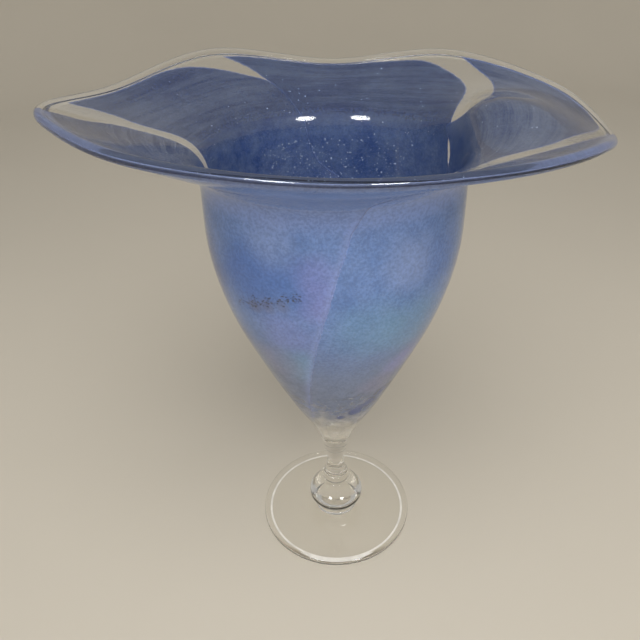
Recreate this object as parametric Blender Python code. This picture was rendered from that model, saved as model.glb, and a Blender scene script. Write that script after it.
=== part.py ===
"""Hand blown art glass vase: a flared, pinched bowl on a short stem, knop and round foot.

The vase stands on the floor plane with its axis on +Z and the middle of its foot at the origin.
+X is towards the drooping corner of the brim, -Y is the front. All lengths are in metres.
The bowl is built in the layers that a glass blower gathers: a clear inner bubble with the lip,
four gores of colour laid on it, and a thin clear casing over them.
"""
import bmesh
import bpy
import numpy as np

# Driving dimensions
FOOT_R = 0.050           # radius of the foot
FOOT_EDGE = 0.0042       # thickness of its rounded edge
BODY_R = 0.0652          # outer radius of the bowl at its widest
BOWL_BASE_Z = 0.0583     # where the bowl's solid base meets the stem
NECK_Z = 0.240           # where the wall starts to turn out into the brim
INNER_WALL = 0.0015      # thickness of the clear inner layer
COLOUR = 0.0006          # thickness of the colour
OUTER_WALL = 0.0009      # thickness of the clear outer layer
GAP = 0.0003             # left between pieces that touch
LIP_R = 0.0024           # radius of the round lip

SECTORS = 48             # columns round the bowl
TURNED_SECTORS = 32      # columns round the stem pieces and the foot
FIRST_COLUMN = 3.75      # azimuth of the first column, in degrees

# The bowl's outer line below the brim, as radius and height
BODY = [(0.0070, BOWL_BASE_Z), (0.0078, 0.0620), (0.0105, 0.0720), (0.0166, 0.0860), (0.0244, 0.1000),
        (0.0430, 0.1400), (0.0573, 0.1760), (0.0644, 0.2080), (BODY_R, NECK_Z)]
# The lip's line: azimuth in degrees, reach and height, and how high the wall turns out below it
RIM = [(4, 0.1342, 0.2562, 0.282), (21, 0.1303, 0.2676, 0.274), (52, 0.1110, 0.2812, 0.263),
       (90, 0.1050, 0.2738, 0.262), (130, 0.1110, 0.2846, 0.262), (160, 0.1275, 0.2732, 0.262),
       (180, 0.1385, 0.2762, 0.262), (198, 0.1235, 0.2774, 0.262), (225, 0.1075, 0.2772, 0.262),
       (270, 0.0990, 0.2762, 0.262), (310, 0.1045, 0.2722, 0.264), (339, 0.1195, 0.2665, 0.270)]
BEND_R = 0.0635          # the wall leans in to this radius where it turns
BRIM_START_R = 0.0800    # and the brim runs out from this one
BRIM_DIP = 0.003         # which lies this far below the turn

# The leg, from the bottom up; a disc is its radius, its bottom and its top
FOOT_TOP = [(0, 0.0047), (0.0145, 0.0047), (0.020, 0.0039), (0.034, 0.0033), (0.0445, 0.0034)]
RING = (0.0140, 0.0050, 0.0075)
KNOP_Z = 0.0172          # middle of the knop
KNOP_HALF_WIDTH = 0.0177
KNOP_HALF_HEIGHT = 0.0110
KNOP_ARC = (56, -58)     # where its round side starts and ends, in degrees from the level
KNOP_NECK = [(0.0064, 0.0290), (0.0066, 0.0276)]
COLLAR = (0.0088, 0.0293, 0.0359)
STEM = [(0.0070, BOWL_BASE_Z - GAP), (0.0057, 0.0520), (0.0055, 0.0460), (0.0061, 0.0400), (0.0078, 0.0362)]

# Rows of the bowl's grid
BODY_ROWS = [0.0720, 0.0810, 0.0920, 0.1080, 0.1300, 0.1560, 0.1840, 0.2120, NECK_Z]
BRIM_ROWS = [0.16, 0.30, 0.43, 0.57, 0.74, 0.92, 1.0]

# The colour: each gore lies between two clear gaps, given as columns round the neck
GORES = {"colour_patch_back": (2, 13), "colour_patch_left": (14, 23),
         "colour_patch_front": (24, 36), "colour_patch_right": (37, 49)}
COLOUR_ROWS = (2, -2)    # first and last row of the colour
TWIST_BELOW = 48.0       # degrees that the gores turn from the foot of the bowl up to the neck
TWIST_ABOVE = 25.0       # and from the neck out to the lip

CAVITY_POLE_Z = 0.0655   # deepest point of the inside
LEDGE_Z = 0.0712         # the solid base has the bowl's full width up to here
BASE_ROWS = [(0.0078, 0.0620), (0.0070, BOWL_BASE_Z)]

# Colours, roughness and transmission
CLEAR = (0.90, 0.91, 0.90)
LUSTRE = (0.86, 0.88, 0.95)
LUSTRE_ROUGHNESS = 0.12
BLUE_ROUGHNESS = 0.25
BLUE_TRANSMISSION = 0.3
BLUES = {"colour_patch_back": (0.10, 0.17, 0.36), "colour_patch_left": (0.13, 0.21, 0.42),
         "colour_patch_front": (0.19, 0.29, 0.56), "colour_patch_right": (0.15, 0.24, 0.46)}


def clear_scene():
    """Remove whatever the scene holds."""
    for obj in list(bpy.data.objects):
        bpy.data.objects.remove(obj, do_unlink=True)


def glass(name, colour, roughness=0.03, transmission=1.0):
    """A glass material of its own for one piece."""
    mat = bpy.data.materials.new(name)
    mat.use_nodes = True
    shader = mat.node_tree.nodes["Principled BSDF"]
    shader.inputs["Base Color"].default_value = (*colour, 1)
    shader.inputs["Roughness"].default_value = roughness
    shader.inputs["Metallic"].default_value = 0
    shader.inputs["Transmission Weight"].default_value = transmission
    mat.diffuse_color = (*colour, 1)
    return mat


def curve_through(points, steps, closed=False):
    """A smooth centripetal Catmull-Rom curve through the points, as steps samples for each span."""
    points = np.array(points, float)
    count = len(points)
    if not closed:
        points = np.vstack([2 * points[0] - points[1], points, 2 * points[-1] - points[-2]])
    curve = []
    for i in range(count if closed else count - 1):
        a, b, c, d = (points[(i + k) % len(points)] for k in ((-1, 0, 1, 2) if closed else (0, 1, 2, 3)))
        t0, t1, t2 = (np.sqrt(np.linalg.norm(v)) for v in (b - a, c - b, d - c))
        m1 = ((b - a) / t0 - (c - a) / (t0 + t1) + (c - b) / t1) * t1
        m2 = ((c - b) / t1 - (d - b) / (t1 + t2) + (d - c) / t2) * t1
        for k in range(steps):
            s = k / steps
            curve.append((2 * s**3 - 3 * s**2 + 1) * b + (s**3 - 2 * s**2 + s) * m1
                         + (3 * s**2 - 2 * s**3) * c + (s**3 - s**2) * m2)
    if not closed:
        curve.append(points[-2])
    return np.array(curve)


def lip_line():
    """The lip as arrays of azimuth, reach, height and turn height, sorted by azimuth."""
    corners = [(r * np.cos(np.radians(a)), r * np.sin(np.radians(a)), z, turn) for a, r, z, turn in RIM]
    line = curve_through(corners, 40, closed=True)
    azimuth = np.degrees(np.arctan2(line[:, 1], line[:, 0])) % 360
    order = np.argsort(azimuth)
    return azimuth[order], np.hypot(line[:, 0], line[:, 1])[order], line[order, 2], line[order, 3]


def section(azimuths, brim_at):
    """Radius and height of the brim's outer face at each azimuth, brim_at of the way out to the lip."""
    line_azimuth, line_reach, line_height, line_turn = lip_line()
    reach, height, turn = (np.interp(azimuths % 360, line_azimuth, values, period=360)
                           for values in (line_reach, line_height, line_turn))
    away = 1 - brim_at
    weights = (away**3, 3 * away**2 * brim_at, 3 * away * brim_at**2, brim_at**3)
    radius = sum(w * r for w, r in zip(weights, (BODY_R, BEND_R, BRIM_START_R, reach)))
    level = sum(w * z for w, z in zip(weights, (NECK_Z, turn, turn - BRIM_DIP, height)))
    return radius, level


def bowl_grid():
    """Points and outward normals of the bowl's outer face, one row of SECTORS points per level."""
    columns = FIRST_COLUMN + np.arange(SECTORS) * 360 / SECTORS
    line = curve_through(BODY, 12)
    rows = []
    for z in BODY_ROWS:
        twist = -TWIST_BELOW * (NECK_Z - z) / (NECK_Z - BODY_ROWS[0])
        rows.append((columns + twist, np.full(SECTORS, np.interp(z, line[:, 1], line[:, 0])), z))
    for brim_at in BRIM_ROWS:
        azimuths = columns + TWIST_ABOVE * brim_at**2
        rows.append((azimuths, *section(azimuths, brim_at)))
    points = np.array([np.stack([r * np.cos(np.radians(a)), r * np.sin(np.radians(a)), z + 0 * r], -1)
                       for a, r, z in rows])
    around = np.roll(points, -1, 1) - np.roll(points, 1, 1)
    upward = np.gradient(points, axis=0)
    normals = np.cross(around, upward)
    return points, normals / np.linalg.norm(normals, axis=2, keepdims=True)


def make_object(name, bm, material):
    """Turn a bmesh into a smooth shaded object of its own."""
    bmesh.ops.recalc_face_normals(bm, faces=bm.faces)
    mesh = bpy.data.meshes.new(name)
    bm.to_mesh(mesh)
    bm.free()
    mesh.materials.append(material)
    mesh.shade_smooth()
    mesh.set_sharp_from_angle(angle=np.radians(40))
    obj = bpy.data.objects.new(name, mesh)
    bpy.context.scene.collection.objects.link(obj)
    return obj


def loft(name, rings, material, closed=False):
    """A closed solid through rings of points; a ring of one point is a pole, closed joins last to first."""
    bm = bmesh.new()
    loops = [[bm.verts.new(p) for p in ring] for ring in rings]
    pairs = list(zip(loops, loops[1:])) + ([(loops[-1], loops[0])] if closed else [])
    for low, high in pairs:
        count = max(len(low), len(high))
        for i in range(count):
            j = (i + 1) % count
            corners = (low[i % len(low)], low[j % len(low)], high[j % len(high)], high[i % len(high)])
            bm.faces.new(list(dict.fromkeys(corners)))
    bmesh.ops.triangulate(bm, faces=bm.faces)
    return make_object(name, bm, material)


def turned(name, profile, material):
    """A solid of revolution from its profile of radius and height, top to bottom, by a Screw modifier."""
    mesh = bpy.data.meshes.new(name)
    mesh.from_pydata([(r, 0, z) for r, z in profile], [(i, i + 1) for i in range(len(profile) - 1)], [])
    mesh.materials.append(material)
    obj = bpy.data.objects.new(name, mesh)
    bpy.context.scene.collection.objects.link(obj)
    screw = obj.modifiers.new("turn", "SCREW")
    screw.axis = "Z"
    screw.steps = screw.render_steps = TURNED_SECTORS
    screw.use_merge_vertices = True
    screw.merge_threshold = 0.00001
    screw.use_smooth_shade = True
    return obj


def rounded_edge(reach, low, high, steps=6):
    """A disc's rounded edge as an arc of radius and height, from its top round to its bottom."""
    half = (high - low) / 2
    angles = np.linspace(np.pi / 2, -np.pi / 2, steps + 1)
    return [(reach - half + half * np.cos(a), (low + high) / 2 + half * np.sin(a)) for a in angles]


def inner_casing(points, normals):
    """The clear bubble: the inside, the round lip, the face the colour lies on, and the solid base."""
    wall = INNER_WALL + COLOUR + OUTER_WALL + 2 * GAP
    under_colour = COLOUR + OUTER_WALL + 2 * GAP
    outward = points[-1] - points[-2]
    outward -= normals[-1] * np.sum(outward * normals[-1], 1, keepdims=True)
    outward /= np.linalg.norm(outward, axis=1, keepdims=True)
    middle = points[-1] - normals[-1] * wall / 2 - outward * LIP_R
    rings = [[(0, 0, CAVITY_POLE_Z)]]
    rings += list(points[:-1] - normals[:-1] * wall)
    for angle in np.radians((-80, -40, 0, 40, 80)):
        rings.append(middle + LIP_R * (np.cos(angle) * outward + np.sin(angle) * normals[-1]))
    rings += list((points[:-1] - normals[:-1] * under_colour)[::-1])
    spin = np.arctan2(points[0][:, 1], points[0][:, 0])
    ledge_r = np.interp(LEDGE_Z, [z for _, z in BODY], [r for r, _ in BODY])
    for radius, z in [(ledge_r, LEDGE_Z)] + BASE_ROWS:
        rings.append([(radius * np.cos(a), radius * np.sin(a), z) for a in spin])
    rings.append([(0, 0, BOWL_BASE_Z)])
    return loft("inner_casing", rings, glass("clear_inner_glass", CLEAR))


def outer_casing(points, normals):
    """The thin clear layer over the colour, from the base's ledge out to just short of the lip."""
    outside = points[:-1]
    inside = outside - normals[:-1] * OUTER_WALL
    rings = list(inside) + list(outside[::-1])
    return loft("outer_casing", rings, glass("lustred_outer_glass", LUSTRE, LUSTRE_ROUGHNESS), closed=True)


def colour_patch(name, points, normals):
    """One gore of colour between the two clear layers, with a closed edge all round."""
    first, last = GORES[name]
    columns = np.arange(first, last + 1) % SECTORS
    rows = slice(*COLOUR_ROWS)
    top = (points - normals * (OUTER_WALL + GAP))[rows][:, columns]
    under = (points - normals * (OUTER_WALL + GAP + COLOUR))[rows][:, columns]
    rings = []
    for outer_row, inner_row in zip(top, under):
        rings.append(list(outer_row) + list(inner_row[::-1]))
    bm = bmesh.new()
    loops = [[bm.verts.new(p) for p in ring] for ring in rings]
    count = len(loops[0])
    for low, high in zip(loops, loops[1:]):
        for i in range(count):
            j = (i + 1) % count
            bm.faces.new((low[i], low[j], high[j], high[i]))
    for loop in (loops[0], loops[-1]):
        for i in range(count // 2 - 1):
            bm.faces.new((loop[i], loop[i + 1], loop[count - 2 - i], loop[count - 1 - i]))
    bmesh.ops.triangulate(bm, faces=bm.faces)
    return make_object(name, bm, glass(name + "_blue", BLUES[name], BLUE_ROUGHNESS, BLUE_TRANSMISSION))


def foot():
    """The round foot: flat underneath, a thick rounded edge, and a top that rises a little to the middle."""
    profile = FOOT_TOP + rounded_edge(FOOT_R, 0, FOOT_EDGE) + [(0, 0)]
    return turned("foot", profile, glass("clear_foot_glass", CLEAR))


def knop():
    """The flattened ball, with a short neck on top."""
    angles = np.radians(np.linspace(*KNOP_ARC, 12))
    ball = [(KNOP_HALF_WIDTH * np.cos(a), KNOP_Z + KNOP_HALF_HEIGHT * np.sin(a)) for a in angles]
    profile = [(0, KNOP_NECK[0][1])] + KNOP_NECK + ball + [(0, ball[-1][1])]
    return turned("knop", profile, glass("clear_knop_glass", CLEAR))


def stem():
    """The waisted stem between the bowl and the collar."""
    line = curve_through(STEM, 3)
    profile = [(0, line[0][1])] + [tuple(p) for p in line] + [(0, line[-1][1])]
    return turned("stem", profile, glass("clear_stem_glass", CLEAR))


def merese(name, size, steps, material):
    """A low solid disc with a rounded edge, which joins two parts of the leg."""
    _, low, high = size
    return turned(name, [(0, high)] + rounded_edge(*size, steps) + [(0, low)], glass(material, CLEAR))


def main():
    clear_scene()
    points, normals = bowl_grid()
    inner_casing(points, normals)
    outer_casing(points, normals)
    for name in GORES:
        colour_patch(name, points, normals)
    stem()
    merese("upper_merese", COLLAR, 8, "clear_collar_glass")
    knop()
    merese("lower_merese", RING, 6, "clear_ring_glass")
    foot()


main()
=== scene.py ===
"""Hand blown art glass vase, finished for a studio picture.

The vase is dressed in the layers that the glass blower gathers: a clear bubble that carries the lip and
the solid base, four gores of mottled blue laid on it, a thin lustred casing over them, seed bubbles in
the wall, and a clear leg of stem, collar, knop, ring and foot. Where two pieces are fused together in the
fire, the faces between them are invisible, so that light passes as it does through one body of glass.
All lengths are in metres and all azimuths in degrees, counted from +X towards +Y; -Y is the front.
"""
from __future__ import annotations

import logging
import math
from dataclasses import dataclass, field
from enum import Enum

import bpy
import numpy as np
from mathutils import Matrix, Vector


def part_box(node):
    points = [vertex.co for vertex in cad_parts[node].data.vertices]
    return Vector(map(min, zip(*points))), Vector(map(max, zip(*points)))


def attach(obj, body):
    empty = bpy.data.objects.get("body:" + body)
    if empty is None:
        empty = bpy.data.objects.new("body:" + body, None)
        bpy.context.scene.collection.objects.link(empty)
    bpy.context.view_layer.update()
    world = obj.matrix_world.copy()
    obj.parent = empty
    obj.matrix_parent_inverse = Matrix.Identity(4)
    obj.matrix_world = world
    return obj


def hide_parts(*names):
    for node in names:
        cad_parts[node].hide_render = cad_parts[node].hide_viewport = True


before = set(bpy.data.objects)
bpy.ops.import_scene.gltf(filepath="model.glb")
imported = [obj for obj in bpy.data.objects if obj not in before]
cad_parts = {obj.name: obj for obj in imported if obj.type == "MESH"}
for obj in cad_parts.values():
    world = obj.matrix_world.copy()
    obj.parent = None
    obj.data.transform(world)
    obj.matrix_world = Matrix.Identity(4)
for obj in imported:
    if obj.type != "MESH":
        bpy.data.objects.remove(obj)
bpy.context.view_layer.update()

log = logging.getLogger("vase")
BODY_NAME = "root"
MILLIMETRE = 0.001
POLE_RADIUS = 1e-7
LEVEL_TOLERANCE = 2e-5
SEED = 7

Pair = tuple[float, float]
Knots = tuple[Pair, ...]
Corner = tuple[float, float, float, float]
Colour = tuple[float, float, float]
Socket = bpy.types.NodeSocket


# ---------------------------------------------------------------- curves


def curve_through(points: np.ndarray, steps: int, closed: bool = False) -> np.ndarray:
    """Run a smooth centripetal Catmull-Rom curve through points.

    Args:
        points: The points, one to a row.
        steps: Samples for each span.
        closed: Whether the last point joins the first.

    Returns:
        The samples, one to a row.
    """
    points = np.asarray(points, float)
    if closed:
        padded = np.vstack([points[-1], points, points[0], points[1]])
    else:
        padded = np.vstack([2 * points[0] - points[1], points, 2 * points[-1] - points[-2]])
    curve = []
    for a, b, c, d in zip(padded, padded[1:], padded[2:], padded[3:]):
        t0, t1, t2 = (np.sqrt(np.linalg.norm(v)) for v in (b - a, c - b, d - c))
        leave = ((b - a) / t0 - (c - a) / (t0 + t1) + (c - b) / t1) * t1
        arrive = ((c - b) / t1 - (d - b) / (t1 + t2) + (d - c) / t2) * t1
        for s in np.arange(steps) / steps:
            curve.append((2 * s**3 - 3 * s**2 + 1) * b + (s**3 - 2 * s**2 + s) * leave
                         + (3 * s**2 - 2 * s**3) * c + (s**3 - s**2) * arrive)
    if not closed:
        curve.append(points[-1])
    return np.array(curve)


def arc(centre: Pair, radii: Pair, start: float, end: float, steps: int) -> list[Pair]:
    """Sample an elliptic arc in the plane of radius and height.

    Args:
        centre: Radius and height of its centre.
        radii: Its half width and half height.
        start: Angle where it starts, in degrees from the outward direction.
        end: Angle where it ends.
        steps: How many spans it is cut in.

    Returns:
        The samples as pairs of radius and height.
    """
    angles = np.radians(np.linspace(start, end, steps + 1))
    return [(centre[0] + radii[0] * math.cos(a), centre[1] + radii[1] * math.sin(a)) for a in angles]


def smooth_steps(knots: Knots, at: np.ndarray) -> np.ndarray:
    """Read a smooth line through knots.

    Args:
        knots: Pairs of place and value, in rising order of place.
        at: The places to read.

    Returns:
        The values there.
    """
    line = curve_through(np.array(knots) * (100.0, 1.0), 12)
    return np.interp(at, line[:, 0] / 100.0, line[:, 1])


# ---------------------------------------------------------------- the bowl's form


@dataclass
class BowlForm:
    """The outer face of the bowl as a function of azimuth and way.

    The way runs from 0 at the bottom of the solid base to 1 at the neck and 2 at the lip. The body is
    given as pairs of radius and height. Each corner of the rim is its azimuth, reach and height, and how
    high the wall turns out below it. A sheet is one layer of blue, and the middle of the upper and of the
    under one is given in thicknesses of a sheet below the depth where the blue starts.
    """

    body: Knots = ((0.0070, 0.0583), (0.0078, 0.0620), (0.0105, 0.0720), (0.0166, 0.0860), (0.0244, 0.1000),
                   (0.0430, 0.1400), (0.0573, 0.1760), (0.0644, 0.2080), (0.0652, 0.2400))
    rim: tuple[Corner, ...] = (
        (4, 0.1342, 0.2562, 0.282), (21, 0.1303, 0.2676, 0.274), (52, 0.1110, 0.2812, 0.263),
        (90, 0.1050, 0.2738, 0.262), (130, 0.1110, 0.2846, 0.262), (160, 0.1275, 0.2732, 0.262),
        (180, 0.1385, 0.2762, 0.262), (198, 0.1235, 0.2774, 0.262), (225, 0.1075, 0.2772, 0.262),
        (270, 0.0990, 0.2762, 0.262), (310, 0.1045, 0.2722, 0.264), (339, 0.1195, 0.2665, 0.270))
    bend_radius: float = 0.0635
    brim_start: float = 0.0800
    brim_dip: float = 0.003
    neck_blend: float = 0.012
    lip_radius: float = 0.0024
    bead_reach: float = 1.78
    wall: float = 0.0036
    outer_wall: float = 0.0009
    blue_depth: float = 0.0010
    sheet: float = 0.0003
    upper_middle: float = 0.5
    under_middle: float = 1.8
    inner_depth: float = 0.0018
    cavity_pole: float = 0.0655
    ledge: float = 0.0712
    columns: int = 288
    line: np.ndarray = field(init=False)
    lip: np.ndarray = field(init=False)

    def __post_init__(self) -> None:
        """Work out the body's line and the lip's line once."""
        self.line = curve_through(np.array(self.body), 40)
        corners = [(r * math.cos(math.radians(a)), r * math.sin(math.radians(a)), z, turn)
                   for a, r, z, turn in self.rim]
        line = curve_through(np.array(corners), 60, closed=True)
        azimuth = np.degrees(np.arctan2(line[:, 1], line[:, 0])) % 360
        order = np.argsort(azimuth)
        line, azimuth = line[order], azimuth[order]
        even = np.arange(0, 360, 0.5)
        values = np.stack([np.interp(even, azimuth, v, period=360)
                           for v in (np.hypot(line[:, 0], line[:, 1]), line[:, 2], line[:, 3])])
        kernel = np.exp(-0.5 * (np.arange(-12, 13) / 4.0) ** 2)
        padded = np.concatenate([values[:, -12:], values, values[:, :12]], axis=1)
        smooth = [np.convolve(row, kernel / kernel.sum(), mode="valid") for row in padded]
        self.lip = np.vstack([even, smooth])

    @property
    def base_z(self) -> float:
        """Height of the bottom of the solid base."""
        return self.body[0][1]

    @property
    def neck_z(self) -> float:
        """Height where the wall starts to turn out."""
        return self.body[-1][1]

    def way_at(self, z: float) -> float:
        """Way of a height on the body."""
        return (z - self.base_z) / (self.neck_z - self.base_z)

    def outer(self, azimuth: np.ndarray, way: np.ndarray) -> np.ndarray:
        """Place points on the outer face.

        Args:
            azimuth: Azimuths of the points.
            way: Ways of the points, of the same shape.

        Returns:
            Their places, with the coordinates on the last axis.
        """
        azimuth, way = np.broadcast_arrays(np.asarray(azimuth, float), np.asarray(way, float))
        reach, height, turn = (np.interp(azimuth % 360, self.lip[0], v, period=360) for v in self.lip[1:])
        out = np.clip(way - 1, 0, None)
        away = 1 - out
        weights = (away**3, 3 * away**2 * out, 3 * away * out**2, out**3)
        neck_r = self.body[-1][0]
        brim_r = sum(w * r for w, r in zip(weights, (neck_r, self.bend_radius, self.brim_start, reach)))
        brim_z = sum(w * z for w, z in zip(weights, (self.neck_z, turn, turn - self.brim_dip, height)))
        body_z = self.base_z + np.clip(way, None, 1) * (self.neck_z - self.base_z)
        body_r = np.interp(body_z, self.line[:, 1], self.line[:, 0])
        radius, z = np.where(way > 1, brim_r, body_r), np.where(way > 1, brim_z, body_z)
        below = (self.body[-1][0] - self.body[-2][0]) / (self.body[-1][1] - self.body[-2][1])
        above = (self.bend_radius - neck_r) / (turn - self.neck_z)
        near = np.clip(self.neck_blend - np.abs(z - self.neck_z), 0, None) * (way < 1.5)
        radius = radius + (above - below * 0.4) * near**2 / (4 * self.neck_blend)
        angle = np.radians(azimuth)
        return np.stack([radius * np.cos(angle), radius * np.sin(angle), z], -1)

    def normal(self, azimuth: np.ndarray, way: np.ndarray) -> np.ndarray:
        """Outward unit normals at the points of outer()."""
        azimuth, way = np.broadcast_arrays(np.asarray(azimuth, float), np.asarray(way, float))
        around = self.outer(azimuth + 0.6, way) - self.outer(azimuth - 0.6, way)
        low, high = np.clip(way - 0.004, 0, 2), np.clip(way + 0.004, 0, 2)
        upward = self.outer(azimuth, high) - self.outer(azimuth, low)
        cross = np.cross(around, upward)
        return cross / np.linalg.norm(cross, axis=-1, keepdims=True)

    def at(self, azimuth: np.ndarray, way: np.ndarray, depth: float) -> np.ndarray:
        """Points at a depth under the outer face."""
        return self.outer(azimuth, way) - self.normal(azimuth, way) * depth

    def brim_speed(self, azimuth: np.ndarray) -> np.ndarray:
        """Length of the brim for one unit of way, close to the lip."""
        step = 0.02
        span = self.outer(azimuth, 2.0 - step / 2) - self.outer(azimuth, 2.0 - 1.5 * step)
        return np.linalg.norm(span, axis=-1) / step

    def wall_end(self, azimuth: np.ndarray) -> np.ndarray:
        """Way where the wall meets the round bead of the lip."""
        return 2.0 - self.bead_reach * self.lip_radius / self.brim_speed(azimuth)

    def bead(self, azimuth: np.ndarray) -> tuple[np.ndarray, np.ndarray, np.ndarray]:
        """Centre, outward direction and normal of the lip's bead.

        Args:
            azimuth: Azimuths round the lip.

        Returns:
            The centres, the unit directions out of the brim, and the unit normals.
        """
        tip, normal = self.outer(azimuth, 2.0), self.normal(azimuth, 1.985)
        outward = tip - self.outer(azimuth, 1.97)
        outward -= normal * np.sum(outward * normal, -1, keepdims=True)
        outward /= np.linalg.norm(outward, axis=-1, keepdims=True)
        return tip - normal * self.wall / 2 - outward * self.lip_radius, outward, normal

    def rows(self, azimuth: np.ndarray, body_rows: int, brim_rows: int, start_z: float) -> list[np.ndarray]:
        """Ways of the rows from a height on the body out to the lip's bead.

        Args:
            azimuth: Azimuths of the columns.
            body_rows: Rows below the neck.
            brim_rows: Rows from the neck out.
            start_z: Height of the first row.

        Returns:
            One array of ways for each row, with a way for each column.
        """
        start = self.way_at(start_z)
        low = [np.full(azimuth.shape, start + (1 - start) * i / body_rows) for i in range(body_rows)]
        end = self.wall_end(azimuth)
        return low + [1 + (end - 1) * i / brim_rows for i in range(brim_rows + 1)]


# ---------------------------------------------------------------- mesh helpers


def deselect_all() -> None:
    """Leave object mode's selection empty."""
    if bpy.context.object and bpy.context.object.mode != "OBJECT":
        bpy.ops.object.mode_set(mode="OBJECT")
    bpy.ops.object.select_all(action="DESELECT")


def activate(obj: bpy.types.Object) -> None:
    """Select one object alone and make it the active one."""
    deselect_all()
    obj.select_set(True)
    bpy.context.view_layer.objects.active = obj


def finish_mesh(obj: bpy.types.Object, merge: float = 1e-6) -> None:
    """Close the doubles of a mesh, turn its faces outwards and shade it smooth.

    Args:
        obj: The piece.
        merge: Distance under which two points become one.
    """
    activate(obj)
    bpy.ops.object.mode_set(mode="EDIT")
    bpy.ops.mesh.select_all(action="SELECT")
    bpy.ops.mesh.remove_doubles(threshold=merge)
    bpy.ops.mesh.normals_make_consistent(inside=False)
    bpy.ops.object.mode_set(mode="OBJECT")
    bpy.ops.object.shade_smooth()
    deselect_all()


def loft(name: str, rings: list[np.ndarray], kinds: list[int], closed: bool) -> bpy.types.Object:
    """Skin a run of rings that all have the same number of points.

    Args:
        name: Name of the new piece.
        rings: The rings in order, each an array of points.
        kinds: Material index of the faces between each ring and the next.
        closed: Whether the last ring joins the first.

    Returns:
        The new piece, whose doubles are still to be merged.
    """
    columns = len(rings[0])
    mesh = bpy.data.meshes.new(name)
    pairs = [(i, i + 1) for i in range(len(rings) - 1)] + ([(len(rings) - 1, 0)] if closed else [])
    faces, slots = [], []
    for (low, high), kind in zip(pairs, kinds):
        for i in range(columns):
            j = (i + 1) % columns
            faces.append((low * columns + i, low * columns + j, high * columns + j, high * columns + i))
            slots.append(kind)
    mesh.from_pydata(np.concatenate(rings).tolist(), [], faces)
    mesh.polygons.foreach_set("material_index", slots)
    obj = bpy.data.objects.new(name, mesh)
    bpy.context.scene.collection.objects.link(obj)
    return obj


def lay_disc(name: str, radius: float, z: float, segments: int) -> bpy.types.Object:
    """Lay down a round disc and stay in edit mode with the edges of its rim selected.

    Args:
        name: Name of the new piece.
        radius: Radius of the disc.
        z: Its height.
        segments: Columns round it.

    Returns:
        The new piece.
    """
    deselect_all()
    bpy.ops.mesh.primitive_circle_add(vertices=segments, radius=radius, fill_type="TRIFAN",
                                      location=(0, 0, z))
    obj = bpy.context.object
    obj.name = obj.data.name = name
    bpy.ops.object.transform_apply(location=True, rotation=True, scale=True)
    rim = [math.hypot(v.co.x, v.co.y) > radius / 2 for v in obj.data.vertices]
    bpy.ops.object.mode_set(mode="EDIT")
    bpy.ops.mesh.select_mode(type="VERT")
    bpy.ops.mesh.select_all(action="DESELECT")
    bpy.ops.object.mode_set(mode="OBJECT")
    obj.data.vertices.foreach_set("select", rim)
    bpy.ops.object.mode_set(mode="EDIT")
    bpy.ops.mesh.select_mode(type="EDGE")
    return obj


def draw_up(profile: list[Pair]) -> None:
    """Extrude the selected rim, and widen or narrow it, through a profile that starts at the rim.

    Args:
        profile: Pairs of radius and height.
    """
    radius, z = profile[0]
    for next_radius, next_z in profile[1:]:
        bpy.ops.mesh.extrude_edges_move(TRANSFORM_OT_translate={"value": (0, 0, next_z - z)})
        size = max(next_radius, POLE_RADIUS) / radius
        bpy.ops.transform.resize(value=(size, size, 1), center_override=(0, 0, next_z))
        radius, z = max(next_radius, POLE_RADIUS), next_z


def turn(name: str, profile: list[Pair], segments: int = 96) -> bpy.types.Object:
    """Turn a closed round piece as on a lathe, ring by ring.

    Args:
        name: Name of the new piece.
        profile: Pairs of radius and height from the bottom disc's rim to the top disc's rim.
        segments: Columns round the piece.

    Returns:
        The closed piece.
    """
    obj = lay_disc(name, *profile[0], segments)
    draw_up(profile + [(0.0, profile[-1][1])])
    bpy.ops.mesh.merge(type="CENTER")
    bpy.ops.object.mode_set(mode="OBJECT")
    finish_mesh(obj)
    return obj


def set_band_faces(obj: bpy.types.Object, low: float, high: float, below: float, slot: int) -> None:
    """Give a material to the ring of faces between two radii and below a height.

    Args:
        obj: The piece.
        low: Inner radius of the ring.
        high: Outer radius of the ring.
        below: Height that the faces lie under.
        slot: Material index.
    """
    for face in obj.data.polygons:
        if face.center.z < below and low < math.hypot(face.center.x, face.center.y) < high:
            face.material_index = slot


def set_joint_faces(obj: bpy.types.Object, levels: list[Pair]) -> None:
    """Give the second material to the flat faces where a turned piece is fused to its neighbours.

    Args:
        obj: The piece.
        levels: Height and radius of each fused disc.
    """
    for face in obj.data.polygons:
        reach = math.hypot(face.center.x, face.center.y)
        fused = any(abs(face.center.z - z) < LEVEL_TOLERANCE and reach < r for z, r in levels)
        face.material_index = int(fused and abs(face.normal.z) > 0.999)


def point_attribute(obj: bpy.types.Object, name: str, values: np.ndarray) -> None:
    """Store one number for each point of a mesh.

    Args:
        obj: The piece.
        name: Name of the attribute.
        values: A number for each point.
    """
    layer = obj.data.attributes.new(name, "FLOAT", "POINT")
    layer.data.foreach_set("value", np.asarray(values, np.float32))


def distance_to(points: np.ndarray, line: np.ndarray) -> np.ndarray:
    """Distance of each point from the nearest sample of a line, in millimetres."""
    found = [np.linalg.norm(line - p, axis=1).min() for p in points]
    return np.array(found) / MILLIMETRE


# ---------------------------------------------------------------- shader helpers


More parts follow.
